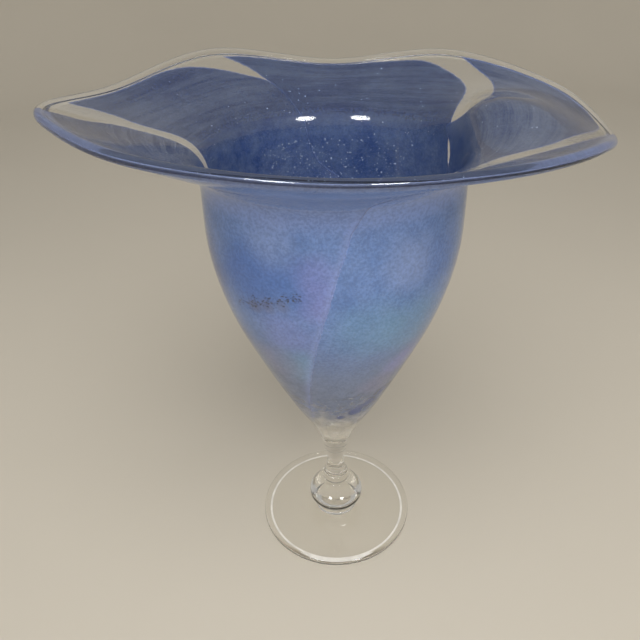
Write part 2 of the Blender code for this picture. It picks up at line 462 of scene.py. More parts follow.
class Graph:
    """Adds nodes to one node tree and links them."""

    def __init__(self, tree: bpy.types.NodeTree) -> None:
        """Keep the tree that is added to."""
        self.tree = tree

    def add(self, kind: str, **settings: object) -> bpy.types.Node:
        """Add a node and set its properties."""
        node = self.tree.nodes.new(kind)
        for key, value in settings.items():
            setattr(node, key, value)
        return node

    def feed(self, socket: Socket, value: object) -> None:
        """Link a socket, or set a plain value, into an input socket."""
        if isinstance(value, Socket):
            self.tree.links.new(value, socket)
        else:
            socket.default_value = value

    def set_inputs(self, node: bpy.types.Node, values: dict[str, object]) -> None:
        """Link or set several inputs of a node by name."""
        for key, value in values.items():
            self.feed(node.inputs[key], value)

    def math(self, operation: str, *values: object, clamp: bool = False) -> Socket:
        """Work out a number from one to three others."""
        node = self.add("ShaderNodeMath", operation=operation, use_clamp=clamp)
        for socket, value in zip(node.inputs, values):
            self.feed(socket, value)
        return node.outputs[0]

    def weigh(self, *parts: tuple[Socket, float]) -> Socket:
        """Add up values, each times its weight."""
        total = None
        for value, weight in parts:
            share = self.math("MULTIPLY", value, weight)
            total = share if total is None else self.math("ADD", total, share)
        return total

    def ramp(self, value: object, low: object, high: object, to_low: object = 0.0,
             to_high: object = 1.0) -> Socket:
        """Map a range of a number smoothly to another range."""
        node = self.add("ShaderNodeMapRange", interpolation_type="SMOOTHSTEP")
        for socket, given in zip(node.inputs, (value, low, high, to_low, to_high)):
            self.feed(socket, given)
        return node.outputs["Result"]

    def noise(self, vector: object, scale: object, detail: float = 2.0, roughness: float = 0.5,
              distortion: float = 0.0) -> Socket:
        """Read a noise texture's value."""
        node = self.add("ShaderNodeTexNoise")
        self.feed(node.inputs["Vector"], vector)
        for name, given in (("Scale", scale), ("Detail", detail), ("Roughness", roughness),
                            ("Distortion", distortion)):
            self.feed(node.inputs[name], given)
        return node.outputs["Fac"]

    def stretch(self, vector: object, scale: tuple[float, float, float]) -> Socket:
        """Scale a vector."""
        node = self.add("ShaderNodeVectorMath", operation="MULTIPLY")
        self.feed(node.inputs[0], vector)
        self.feed(node.inputs[1], scale)
        return node.outputs[0]

    def blend(self, factor: object, first: object, second: object, how: str = "MIX") -> Socket:
        """Mix two colours."""
        node = self.add("ShaderNodeMix", data_type="RGBA", blend_type=how)
        self.feed(node.inputs[0], factor)
        for socket, given in ((node.inputs[6], first), (node.inputs[7], second)):
            self.feed(socket, (*given, 1.0) if isinstance(given, tuple) and len(given) == 3 else given)
        return node.outputs[2]

    def grey(self, value: object) -> Socket:
        """Turn a number into a grey."""
        node = self.add("ShaderNodeCombineColor")
        for socket in node.inputs:
            self.feed(socket, value)
        return node.outputs[0]

    def attribute(self, name: str) -> Socket:
        """Read a number stored on the mesh."""
        return self.add("ShaderNodeAttribute", attribute_name=name).outputs["Fac"]

    def place(self) -> Socket:
        """Read the place on the piece, in metres."""
        return self.add("ShaderNodeTexCoord").outputs["Object"]

    def use(self, group: bpy.types.NodeTree, **values: object) -> bpy.types.Node:
        """Place a node group, with its inputs named with underscores for spaces."""
        node = self.add("ShaderNodeGroup", node_tree=group)
        for key, value in values.items():
            self.feed(node.inputs[key.replace("_", " ")], value)
        return node


def new_material(name: str) -> tuple[bpy.types.Material, Graph, bpy.types.Node]:
    """Start a material.

    Args:
        name: Name of the material.

    Returns:
        The material, its graph and its Principled BSDF.
    """
    material = bpy.data.materials.new(name)
    material.use_nodes = True
    return material, Graph(material.node_tree), material.node_tree.nodes["Principled BSDF"]


def new_group(name: str, inputs: dict[str, tuple[str, object]],
              outputs: dict[str, str]) -> tuple[Graph, dict, dict]:
    """Start a shader node group.

    Args:
        name: Name of the group.
        inputs: Kind and first value of each input, by name.
        outputs: Kind of each output, by name.

    Returns:
        The group's graph, the sockets that bring its inputs, and the sockets that take its outputs.
    """
    tree = bpy.data.node_groups.new(name, "ShaderNodeTree")
    for key, (kind, value) in inputs.items():
        socket = tree.interface.new_socket(key, in_out="INPUT", socket_type=f"NodeSocket{kind}")
        if value is not None:
            socket.default_value = value
    for key, kind in outputs.items():
        tree.interface.new_socket(key, in_out="OUTPUT", socket_type=f"NodeSocket{kind}")
    graph = Graph(tree)
    entry, leave = graph.add("NodeGroupInput"), graph.add("NodeGroupOutput")
    return graph, {k: entry.outputs[k] for k in inputs}, {k: leave.inputs[k] for k in outputs}


def surface_waves_group() -> bpy.types.NodeTree:
    """Height of hot-worked glass: slow waves, a fine orange peel, and faint rings left by the tools."""
    graph, given, out = new_group(
        "surface_waves",
        {"Place": ("Vector", None), "Wave Scale": ("Float", 40.0), "Peel Scale": ("Float", 700.0),
         "Peel": ("Float", 0.1), "Rings": ("Float", 0.0)},
        {"Height": "Float"})
    wave = graph.noise(given["Place"], given["Wave Scale"], 1.0)
    peel = graph.noise(given["Place"], given["Peel Scale"], 2.0)
    ringed = graph.noise(graph.stretch(given["Place"], (2.0, 2.0, 260.0)), 1.0, 2.0)
    total = graph.math("ADD", wave, graph.math("MULTIPLY", peel, given["Peel"]))
    total = graph.math("ADD", total, graph.math("MULTIPLY", ringed, given["Rings"]))
    graph.feed(out["Height"], total)
    return graph.tree


def frit_group() -> bpy.types.NodeTree:
    """Patterns of colour laid on as crushed glass: clouds, fine grain and streaks pulled round the brim."""
    graph, given, out = new_group(
        "frit",
        {"Place": ("Vector", None), "Wrap": ("Vector", None), "Cloud Scale": ("Float", 30.0),
         "Grain Scale": ("Float", 700.0)},
        {"Cloud": "Float", "Mottle": "Float", "Grain": "Float", "Streak": "Float"})
    cloud = graph.noise(given["Place"], given["Cloud Scale"], 4.0, 0.6, 0.4)
    mottle = graph.noise(given["Place"], graph.math("MULTIPLY", given["Cloud Scale"], 5.0), 5.0, 0.65, 0.3)
    grain = graph.noise(given["Place"], given["Grain Scale"], 3.0, 0.7)
    fine = graph.noise(graph.stretch(given["Wrap"], (14.0, 190.0, 1.0)), 1.0, 5.0, 0.68, 0.5)
    broad = graph.noise(graph.stretch(given["Wrap"], (5.0, 26.0, 1.0)), 1.0, 4.0, 0.6, 1.2)
    streak = graph.math("ADD", graph.math("MULTIPLY", fine, 0.5), graph.math("MULTIPLY", broad, 0.5))
    graph.feed(out["Cloud"], graph.ramp(cloud, 0.32, 0.68))
    graph.feed(out["Mottle"], graph.ramp(mottle, 0.3, 0.7))
    graph.feed(out["Grain"], graph.ramp(grain, 0.3, 0.7))
    graph.feed(out["Streak"], graph.ramp(streak, 0.38, 0.62))
    return graph.tree


def tint_spot_group() -> bpy.types.NodeTree:
    """A soft oval of tint on the wall, wandering at its edge."""
    graph, given, out = new_group(
        "tint_spot",
        {"Place": ("Vector", None), "Centre": ("Vector", (0.0, 0.0, 0.0)), "Reach": ("Float", 0.02),
         "Wander": ("Float", 0.5)},
        {"Mask": "Float"})
    apart = graph.add("ShaderNodeVectorMath", operation="DISTANCE")
    graph.feed(apart.inputs[0], given["Place"])
    graph.feed(apart.inputs[1], given["Centre"])
    share = graph.math("DIVIDE", apart.outputs["Value"], given["Reach"])
    ragged = graph.math("SUBTRACT", graph.noise(given["Place"], 90.0, 4.0, 0.6), 0.5)
    share = graph.math("ADD", share, graph.math("MULTIPLY", ragged, given["Wander"]))
    graph.feed(out["Mask"], graph.ramp(share, 0.25, 1.0, 1.0, 0.0))
    return graph.tree


def soft_edge_group() -> bpy.types.NodeTree:
    """How far the colour has faded out at a gore's edge, full at 1, and a dark line where it is thick."""
    graph, given, out = new_group(
        "soft_edge",
        {"Place": ("Vector", None), "Edge": ("Float", 5.0), "Width": ("Float", 1.5)},
        {"Cover": "Float", "Line": "Float"})
    wisp = graph.math("SUBTRACT", graph.noise(given["Place"], 260.0, 4.0, 0.6, 0.5), 0.5)
    inset = graph.math("SUBTRACT", given["Edge"], graph.math("MULTIPLY", given["Width"], 0.5))
    edge = graph.math("ADD", inset, graph.math("MULTIPLY", wisp, given["Width"]))
    graph.feed(out["Cover"], graph.ramp(edge, 0.05, given["Width"]))
    near = graph.math("ABSOLUTE", graph.math("SUBTRACT", given["Edge"], 1.5))
    graph.feed(out["Line"], graph.ramp(near, 0.1, 0.9, 1.0, 0.0))
    return graph.tree


class Groups:
    """The shader node groups, built once."""

    def __init__(self) -> None:
        """Build each group."""
        self.waves = surface_waves_group()
        self.frit = frit_group()
        self.spot = tint_spot_group()
        self.edge = soft_edge_group()


# ---------------------------------------------------------------- finishes


@dataclass(frozen=True)
class ClearGlass:
    """Clear glass that bends light, and lets lamps through to what lies in it or under it."""

    name: str
    tint: Colour = (0.985, 0.982, 0.970)
    roughness: float = 0.07
    ior: float = 1.5
    wave_scale: float = 45.0
    peel_scale: float = 600.0
    peel: float = 0.05
    rings: float = 0.0
    bump: float = 0.15
    passing: Colour = (0.965, 0.960, 0.945)

    def build(self, groups: Groups) -> bpy.types.Material:
        """Make the material.

        Args:
            groups: The shader node groups.

        Returns:
            The material.
        """
        material, graph, glass = new_material(self.name)
        place = graph.place()
        waves = graph.use(groups.waves, Place=place, Wave_Scale=self.wave_scale, Peel_Scale=self.peel_scale,
                          Peel=self.peel, Rings=self.rings)
        bump = graph.add("ShaderNodeBump")
        graph.set_inputs(bump, {"Height": waves.outputs["Height"], "Strength": self.bump,
                                "Distance": MILLIMETRE})
        graph.set_inputs(glass, {"Base Color": (*self.tint, 1.0), "Roughness": self.roughness,
                                 "IOR": self.ior, "Transmission Weight": 1.0,
                                 "Normal": bump.outputs["Normal"]})
        shader = glass.outputs[0]
        path = graph.add("ShaderNodeLightPath")
        for kind in ("Is Diffuse Ray", "Is Shadow Ray"):
            clear = graph.add("ShaderNodeBsdfTransparent")
            graph.feed(clear.inputs["Color"], (*self.passing, 1.0))
            either = graph.add("ShaderNodeMixShader")
            for socket, value in zip(either.inputs, (path.outputs[kind], shader, clear.outputs[0])):
                graph.feed(socket, value)
            shader = either.outputs[0]
        graph.feed(material.node_tree.nodes["Material Output"].inputs["Surface"], shader)
        return material


def fused_joint() -> bpy.types.Material:
    """The face between two pieces that were fused hot: nothing of it is seen."""
    material, graph, shader = new_material("fused_joint")
    graph.set_inputs(shader, {"Alpha": 0.0, "Base Color": (0.9, 0.9, 0.9, 1.0)})
    return material


@dataclass(frozen=True)
class Spot:
    """A soft oval of tint at a place on the bowl's wall."""

    azimuth: float
    z: float
    reach: float
    colour: Colour
    strength: float = 0.8
    solid: bool = False


@dataclass(frozen=True)
class Pattern:
    """What each part of the blue's recipe reads: where it is, and how the crushed colour lies there."""

    graph: Graph
    place: Socket
    way: Socket
    edge: Socket
    brim: Socket
    cloudy: Socket
    worn: Socket


@dataclass(frozen=True)
class BlueFrit:
    """Mottled blue glass, darker from inside, where the darkness is painted shade of the bowl's inside, and
    paler under the lustre from outside, where the lustre's pastel haze is painted in as a sheen.

    Widths are in millimetres from the gore's edge, and each span is a pair of ways.
    """

    name: str
    # Blues of the face that looks into the bowl, darkened as painted shade of the bowl's inside.
    deep: Colour = (0.040, 0.084, 0.270)
    pale: Colour = (0.160, 0.225, 0.410)
    brim_deep: Colour = (0.016, 0.030, 0.095)
    brim_pale: Colour = (0.108, 0.136, 0.212)
    # Blues of the outer face, paler than the inner ones, with the lustre's pastel haze painted in as a sheen.
    lustre_low: Colour = (0.084, 0.168, 0.415)
    lustre_high: Colour = (0.156, 0.256, 0.540)
    # Pale band tone, laid beside gore edges on the body and, as painted light, over the outer face from the
    # neck out.
    band: Colour = (0.235, 0.300, 0.590)
    # Pale lip tone, painted on both faces inside the lip's bead as painted light, and laid on the inner face
    # beside gore edges below the neck.
    lip: Colour = (0.165, 0.215, 0.405)
    low: Colour = (0.160, 0.188, 0.270)
    edge_width: float = 1.4
    lap_width: float = 1.7
    body_cover: float = 0.92
    brim_cover: float = 0.80
    spots: tuple[Spot, ...] = ()
    brim_span: Pair = (0.98, 1.40)
    lap_opens: Pair = (0.35, 0.75)
    lap_closes: Pair = (0.92, 1.10)
    low_span: Pair = (0.42, 0.80)
    inner_band_ends: Pair = (0.88, 0.95)
    painted_light_under_brim: Pair = (0.96, 1.15)
    painted_edge_light_span: Pair = (0.95, 1.10)
    painted_light_bead_span: Pair = (1.945, 1.970)
    fade_span: Pair = (0.24, 0.62)

    def inner_colour(self, at: Pattern) -> Socket:
        """Colour of the face that looks into the bowl, darkened as painted shade: cloudy below, streaked on
        the brim.
        """
        graph = at.graph
        colour = graph.blend(at.cloudy, self.deep, self.pale)
        beside = graph.ramp(at.edge, 0.5, 5.5, 1.0, 0.0)
        band = graph.math("MULTIPLY", beside, graph.ramp(at.way, *self.inner_band_ends, 0.7, 0.0))
        colour = graph.blend(band, colour, self.lip)
        streaked = graph.blend(at.worn, self.brim_deep, self.brim_pale)
        return graph.blend(graph.math("MULTIPLY", at.brim, 0.9), colour, streaked)

    def outer_colour(self, at: Pattern, groups: Groups, form: BowlForm) -> tuple[Socket, object]:
        """Colour of the face under the lustre, paler with a painted sheen and lightened from the neck out
        with painted light, and how far the solid spots hold it where it fades.

        Args:
            at: The pattern.
            groups: The shader node groups.
            form: The bowl, which places the spots.

        Returns:
            The colour, and the strength of the solid spots.
        """
        graph = at.graph
        colour = graph.blend(at.cloudy, self.lustre_low, self.lustre_high)
        colour = graph.blend(graph.ramp(at.way, *self.low_span, 0.75, 0.0), colour, self.low)
        wisps = 0.0
        for spot in self.spots:
            centre = form.outer(np.array(spot.azimuth), np.array(form.way_at(spot.z)))
            round_spot = graph.use(groups.spot, Place=at.place, Centre=tuple(centre), Reach=spot.reach)
            share = graph.math("MULTIPLY", round_spot.outputs["Mask"], spot.strength)
            colour = graph.blend(share, colour, spot.colour)
            if spot.solid:
                wisps = graph.math("MAXIMUM", wisps, share)
        beside = graph.ramp(at.edge, 1.0, 6.5, 0.55, 0.0)
        on_body = graph.math("SUBTRACT", 1.0, at.brim)
        colour = graph.blend(graph.math("MULTIPLY", beside, on_body), colour, self.band)
        # Painted light: from the neck out the outer face is blended toward the pale band tone, in place of
        # the light that the brim's overhang shades off.
        return graph.blend(graph.ramp(at.way, *self.painted_light_under_brim, 0.0, 0.4), colour, self.band), wisps

    def build(self, groups: Groups, form: BowlForm) -> bpy.types.Material:
        """Make the material.

        Args:
            groups: The shader node groups.
            form: The bowl, which places the spots.

        Returns:
            The material.
        """
        material, graph, shader = new_material(self.name)
        place, way, outward = graph.place(), graph.attribute("way"), graph.attribute("outward")
        wrap = graph.add("ShaderNodeUVMap", uv_map="wrap").outputs["UV"]
        frit = graph.use(groups.frit, Place=place, Wrap=wrap).outputs
        cloudy = graph.weigh((frit["Cloud"], 0.5), (frit["Mottle"], 0.5))
        worn = graph.weigh((frit["Streak"], 0.7), (cloudy, 0.3))
        brim = graph.ramp(way, *self.brim_span)
        at = Pattern(graph, place, way, graph.attribute("edge"), brim, cloudy, worn)
        width = graph.math("MINIMUM", graph.ramp(way, *self.lap_opens, self.edge_width, self.lap_width),
                           graph.ramp(way, *self.lap_closes, self.lap_width, self.edge_width))
        edge = graph.use(groups.edge, Place=place, Edge=at.edge, Width=width).outputs
        outer, wisps = self.outer_colour(at, groups, form)
        # Lit and shaded copies of one blue: the outer face takes the paler colour with its painted sheen, the
        # inner face the darker one with its painted shade.
        colour = graph.blend(outward, self.inner_colour(at), outer)
        # Painted light: inside the lip's bead both faces take the pale lip tone instead of the dark inner
        # one.
        colour = graph.blend(graph.ramp(way, *self.painted_light_bead_span), colour, self.lip)
        grainy = graph.ramp(frit["Grain"], 0.0, 1.0, 0.86, 1.12)
        colour = graph.blend(1.0, colour, graph.grey(grainy), "MULTIPLY")
        fold = graph.ramp(graph.attribute("fold"), 0.2, 1.1, 0.7, 0.0)
        dark = graph.math("MAXIMUM", graph.math("MULTIPLY", edge["Line"], 0.6), fold)
        dark = graph.math("MULTIPLY", dark, graph.math("SUBTRACT", 1.0, outward))
        colour = graph.blend(dark, colour, self.deep)
        # Painted light: where a gore's edge fades out, its colour is brightened, by up to 2.15 on the body
        # and 1.35 on the brim, to offset the shade that the fading edge casts where gores overlap.
        lift = graph.ramp(edge["Cover"], 0.0, 1.0, graph.ramp(way, *self.painted_edge_light_span, 2.15, 1.35), 1.0)
        colour = graph.blend(1.0, colour, graph.grey(lift), "MULTIPLY")
        drift = graph.weigh((frit["Mottle"], 0.10), (frit["Cloud"], 0.12))
        fade = graph.math("MAXIMUM", graph.ramp(graph.math("ADD", way, drift), *self.fade_span), wisps)
        cover = graph.ramp(at.brim, 0.0, 1.0, self.body_cover, self.brim_cover)
        thick = graph.ramp(graph.math("MULTIPLY", worn, at.brim), 0.0, 1.0, 1.04, 0.84)
        alpha = graph.math("MULTIPLY", graph.math("MULTIPLY", cover, thick), edge["Cover"])
        alpha = graph.math("MULTIPLY", alpha, fade, clamp=True)
        graph.set_inputs(shader, {"Base Color": colour, "Roughness": 0.5, "Specular IOR Level": 0.1,
                                  "Alpha": alpha})
        return material


@dataclass(frozen=True)
class Bubble:
    """The bright or dark glint of a small bubble shut in the glass."""

    name: str
    colour: Colour
    alpha: float

    def build(self) -> bpy.types.Material:
        """Make the material."""
        material, graph, shader = new_material(self.name)
        shade = graph.ramp(graph.noise(graph.place(), 900.0), 0.3, 0.7, 0.7, 1.0)
        tone = graph.blend(shade, tuple(c * 0.6 for c in self.colour), self.colour)
        graph.set_inputs(shader, {"Base Color": tone, "Roughness": 0.15,
                                  "Alpha": graph.math("MULTIPLY", shade, self.alpha)})
        return material


@dataclass(frozen=True)
class PaintedCausticRing:
    """A bright ring painted on the foot's underside where it stands: painted light in place of the caustic
    that the foot's rounded rim throws onto the floor.
    """

    name: str = "painted_caustic_ring"
    # Colour of the painted caustic light.
    colour: Colour = (0.96, 0.94, 0.90)

    def build(self) -> bpy.types.Material:
        """Make the material."""
        material, graph, shader = new_material(self.name)
        # Painted caustic light, dimmer and a little see-through in patches.
        caustic_glow = graph.ramp(graph.noise(graph.place(), 150.0, 4.0, 0.6), 0.3, 0.7, 0.82, 1.0)
        dim_caustic = tuple(c * 0.8 for c in self.colour)
        graph.set_inputs(shader, {"Base Color": graph.blend(caustic_glow, dim_caustic, self.colour), "Roughness": 0.6,
                                  "Alpha": caustic_glow})
        return material


@dataclass(frozen=True)
class StudioPaint:
    """The matt pale sweep that the vase stands on."""

    name: str = "studio_paint"
    colour: Colour = (0.62, 0.578, 0.500)

    def build(self) -> bpy.types.Material:
        """Make the material."""
        material, graph, shader = new_material(self.name)
        cloud = graph.noise(graph.place(), 3.0, 3.0)
        tone = graph.blend(cloud, tuple(c * 0.96 for c in self.colour), tuple(c * 1.03 for c in self.colour))
        graph.set_inputs(shader, {"Base Color": tone, "Roughness": 0.7, "Specular IOR Level": 0.2})
        return material


# ---------------------------------------------------------------- pieces


def register(obj: bpy.types.Object, slot: str, *nodes: str) -> None:
    """Tell the frame what a finished piece stands for.

    Args:
        obj: The piece.
        slot: The record's material slot; not used.
        nodes: The CAD nodes it replaces.
    """
    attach(obj, BODY_NAME)
    if nodes:
        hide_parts(*nodes)
    log.info("%s: %d faces, stands for %s", obj.name, len(obj.data.polygons), ", ".join(nodes) or "detail")


def between(low: str, high: str) -> float:
    """Height halfway between a CAD node and its upper neighbour."""
    return (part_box(low)[1].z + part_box(high)[0].z) / 2


class Face(Enum):
    """Which material a face of a glass piece takes."""

    GLASS = 0
    JOINT = 1


@dataclass
class Bowl:
    """The clear bubble, its lip, its solid base, and the lustred casing over the colour."""

    form: BowlForm
    body_rows: int = 64
    brim_rows: int = 48
    dome_rows: int = 9
    bead_steps: int = 18
    bead_sweep: float = 128.0
    clear: ClearGlass = ClearGlass("clear_bowl_glass", roughness=0.09, bump=0.10)
    lustre: ClearGlass = ClearGlass("lustred_glass", roughness=0.10, wave_scale=30.0, peel_scale=520.0,
                                    peel=0.22, bump=0.27)

    def azimuths(self) -> np.ndarray:
        """Azimuths of the columns."""
        return np.arange(self.form.columns) * 360.0 / self.form.columns

    def build_clear(self, groups: Groups, joint: bpy.types.Material) -> bpy.types.Object:
        """Make the clear bubble: the inside, the bead of the lip, the bed of the colour, and the base.

        Args:
            groups: The shader node groups.
            joint: Material of the fused faces.

        Returns:
            The piece.
        """
        form, azimuth = self.form, self.azimuths()
        rings, kinds = [], []

        def ring(points: np.ndarray, kind: Face) -> None:
            """Add a ring and the kind of the faces that follow it."""
            rings.append(points)
            kinds.append(kind.value)

        start_z = form.body[2][1]
        ways = form.rows(azimuth, self.body_rows, self.brim_rows, start_z)
        first = form.at(azimuth, ways[0], form.wall)
        for i in range(self.dome_rows):
            angle = math.pi / 2 * i / self.dome_rows
            lift = form.cavity_pole + (first[:, 2] - form.cavity_pole) * (1 - math.cos(angle))
            ring(np.column_stack([first[:, :2] * math.sin(angle), lift]), Face.GLASS)
        for way in ways:
            ring(form.at(azimuth, way, form.wall), Face.GLASS)
        centre, outward, normal = form.bead(azimuth)
        for angle in np.radians(np.linspace(-self.bead_sweep, self.bead_sweep, self.bead_steps + 1)):
            spoke = math.cos(angle) * outward + math.sin(angle) * normal
            ring(centre + form.lip_radius * spoke, Face.GLASS)
        ring(form.outer(azimuth, ways[-1]), Face.JOINT)
        for way in ways[:1:-2]:
            ring(form.at(azimuth, way, form.inner_depth), Face.JOINT)
        base_z = between("stem", "inner_casing")
        for z in np.linspace(form.ledge, form.base_z, 8):
            ring(form.outer(azimuth, np.full(azimuth.shape, form.way_at(z))), Face.GLASS)
        bottom = form.outer(azimuth, np.zeros(azimuth.shape))
        bottom[:, 2] = base_z
        ring(bottom, Face.JOINT)
        ring(bottom * (POLE_RADIUS, POLE_RADIUS, 1.0), Face.JOINT)
        obj = loft("clear_bowl", rings, kinds[:-1], closed=False)
        obj.data.materials.append(self.clear.build(groups))
        obj.data.materials.append(joint)
        finish_mesh(obj)
        register(obj, "clear_bowl", "inner_casing")
        return obj

    def build_casing(self, groups: Groups, joint: bpy.types.Material) -> bpy.types.Object:
        """Make the thin casing over the colour.

        Args:
            groups: The shader node groups.
            joint: Material of the fused faces.

        Returns:
            The piece.
        """
        form, azimuth = self.form, self.azimuths()
        ways = form.rows(azimuth, self.body_rows, self.brim_rows, form.ledge)
        outside = [form.outer(azimuth, way) for way in ways]
        inside = [form.at(azimuth, way, form.outer_wall) for way in ways[::-2]]
        kinds = [Face.GLASS.value] * (len(outside) - 1) + [Face.JOINT.value] * (len(inside) + 1)
        obj = loft("lustred_casing", outside + inside, kinds, closed=True)
        obj.data.materials.append(self.lustre.build(groups))
        obj.data.materials.append(joint)
        finish_mesh(obj)
        register(obj, "lustred_casing", "outer_casing")
        return obj


@dataclass
class Gore:
    """One patch of blue between two clear gaps, laid between the bubble and the casing."""

    name: str
    node: str
    start: Knots
    finish: Knots
    blue: BlueFrit
    top: Knots = ((0.0, 1.968), (1.0, 1.968))
    first_way: float = 0.14
    under: bool = False
    into_lip: bool = False
    folds: tuple[Knots, ...] = ()
    columns: int = 84
    rows: int = 130

    def build(self, form: BowlForm, groups: Groups) -> bpy.types.Object:
        """Make the patch as a thin sheet with a thickness.

        Args:
            form: The bowl's form.
            groups: The shader node groups.

        Returns:
            The piece.
        """
        across = np.linspace(0, 1, self.columns)
        up = np.linspace(0, 1, self.rows)
        top = np.interp(across, *zip(*self.top))
        way = self.first_way + up[:, None] * (top - self.first_way)[None, :]
        start, finish = smooth_steps(self.start, way), smooth_steps(self.finish, way)
        azimuth = start + (finish - start) * across[None, :]
        depth = form.blue_depth + form.sheet * (form.under_middle if self.under else form.upper_middle)
        middle = form.at(azimuth, way, depth)
        normal = form.normal(azimuth, way)
        if self.into_lip:
            middle, normal, azimuth, way = self.run_into_bead(form, middle, normal, azimuth, way)
        half = normal * form.sheet / 2
        obj = self.sheet(middle + half, middle - half)
        self.store(obj, form, azimuth, way)
        obj.data.materials.append(self.blue.build(groups, form))
        activate(obj)
        bpy.ops.object.shade_smooth_by_angle(angle=math.radians(50))
        deselect_all()
        register(obj, self.name, self.node)
        return obj

    def run_into_bead(self, form: BowlForm, middle: np.ndarray, normal: np.ndarray, azimuth: np.ndarray,
                      way: np.ndarray) -> tuple[np.ndarray, np.ndarray, np.ndarray, np.ndarray]:
        """Carry the last rows of colour into the heart of the lip's bead.

        Args:
            form: The bowl's form.
            middle: Middle surface of the sheet.
            normal: Its normals.
            azimuth: Its azimuths.
            way: Its ways.

        Returns:
            The same four arrays with the rows that run into the bead.
        """
        end = azimuth[-1]
        centre, outward, up = form.bead(end)
        for share in (-0.9, -0.4, 0.1, 0.55):
            row = centre + outward * form.lip_radius * share + up * form.lip_radius * 0.1
            middle = np.concatenate([middle, row[None]])
            normal = np.concatenate([normal, up[None]])
            azimuth = np.concatenate([azimuth, end[None]])
            way = np.concatenate([way, way[-1:] + 0.004])
        return middle, normal, azimuth, way

    def sheet(self, outer: np.ndarray, inner: np.ndarray) -> bpy.types.Object:
        """Join an outer and an inner grid of points into one closed sheet.

        Args:
            outer: Outer face, by row and column.
            inner: Inner face, by row and column.

        Returns:
            The new object.
        """
        rows, columns = outer.shape[:2]
        count = rows * columns
        index = np.arange(count).reshape(rows, columns)
        cells = np.stack([index[:-1, :-1], index[:-1, 1:], index[1:, 1:], index[1:, :-1]], -1).reshape(-1, 4)
        border = np.concatenate([index[0, :-1], index[:-1, -1], index[-1, :0:-1], index[:0:-1, 0]])
        follow = np.roll(border, -1)
        edge = np.stack([follow, border, border + count, follow + count], -1)
        faces = np.concatenate([cells, cells[:, ::-1] + count, edge])
        mesh = bpy.data.meshes.new(self.name)
        points = np.concatenate([outer.reshape(-1, 3), inner.reshape(-1, 3)])
        mesh.from_pydata(points.tolist(), [], faces.tolist())
        obj = bpy.data.objects.new(self.name, mesh)
        bpy.context.scene.collection.objects.link(obj)
        return obj

    def store(self, obj: bpy.types.Object, form: BowlForm, azimuth: np.ndarray, way: np.ndarray) -> None:
        """Store what the material reads: the way, the face, the distance from an edge, and the wrap.

        Args:
            obj: The sheet.
            form: The bowl's form.
            azimuth: Azimuths by row and column.
            way: Ways by row and column.
        """
        count = azimuth.size
        points = form.outer(azimuth, way).reshape(-1, 3)
        along = np.linspace(self.first_way, 2.0, 400)
        lines = [form.outer(smooth_steps(side, along[along <= side[-1][0]]), along[along <= side[-1][0]])
                 for side in (self.start, self.finish)]
        if not self.into_lip:
            lines.append(form.outer(azimuth[-1], way[-1]))
        edge = distance_to(points, np.concatenate(lines))
        fold = np.full(count, 50.0)
        for knots in self.folds:
            places = np.linspace(knots[0][0], knots[-1][0], 200)
            fold = np.minimum(fold, distance_to(points, form.outer(smooth_steps(knots, places), places)))
        for name, values in (("way", way.ravel()), ("edge", edge), ("fold", fold)):
            point_attribute(obj, name, np.tile(values, 2))
        point_attribute(obj, "outward", np.concatenate([np.ones(count), np.zeros(count)]))
        wrap = np.tile(np.stack([azimuth.ravel() / 360.0, way.ravel() / 2.0], -1), (2, 1))
        corners = np.empty(len(obj.data.loops), np.int32)
        obj.data.loops.foreach_get("vertex_index", corners)
        obj.data.uv_layers.new(name="wrap").data.foreach_set("uv", wrap[corners].astype(np.float32).ravel())


GAP_A_BACK: Knots = ((0.1, 134), (0.3, 146), (0.5, 159), (0.7, 168), (0.85, 173.5), (1.0, 177.5), (1.22, 178),
                     (1.39, 176.5), (1.65, 177), (1.81, 174.5), (1.88, 174), (1.96, 174.5), (2.0, 174.5))
GAP_A_FRONT: Knots = ((0.1, 139), (0.3, 150), (0.5, 162), (0.7, 171), (0.85, 176), (1.0, 180), (1.16, 181.5),
                      (1.45, 180.5), (1.63, 180.5), (1.77, 180.5), (1.87, 183), (1.94, 182.5), (2.0, 183))
GAP_B_BACK: Knots = ((0.1, 45), (0.3, 55.5), (0.5, 67), (0.7, 78), (0.85, 88.5), (0.9, 96), (0.94, 103),
                     (1.0, 107), (1.22, 108.5), (1.49, 111.5), (1.64, 114), (1.75, 117), (1.81, 119),
                     (1.87, 122), (1.92, 125.5), (1.97, 130), (2.0, 132))
GAP_B_LEFT: Knots = ((0.1, 38), (0.3, 48), (0.5, 60), (0.7, 71), (0.85, 81.5), (0.9, 89.5), (0.94, 97),
                     (1.0, 101), (1.22, 103.5), (1.49, 108.5), (1.64, 111), (1.75, 115.5), (1.81, 122.5),
                     (1.88, 131), (1.94, 139), (1.97, 146), (2.0, 150))
GAP_C_RIGHT: Knots = ((0.1, 338), (0.15, 341), (0.4, 356), (0.65, 368), (0.85, 376), (0.94, 379),
                      (0.99, 378.6), (1.05, 377.8), (1.1, 379), (1.15, 382.5), (1.2, 386), (1.255, 386),
                      (1.3, 380), (1.34, 376.5), (1.4, 374.8), (1.48, 375.8), (1.56, 379), (1.66, 384.5),
                      (1.76, 390.5), (1.81, 394), (1.88, 401), (1.93, 406), (1.98, 411), (2.0, 413))
GAP_C_BACK: Knots = ((0.1, -28), (0.15, -25), (0.4, -10), (0.65, 2), (0.85, 10), (1.0, 16.5), (1.08, 18.5),
                     (1.14, 20), (1.25, 22), (1.39, 25), (1.56, 30), (1.69, 35.5), (1.77, 40.5), (1.83, 46),
                     (1.89, 53), (1.94, 61), (2.0, 72))
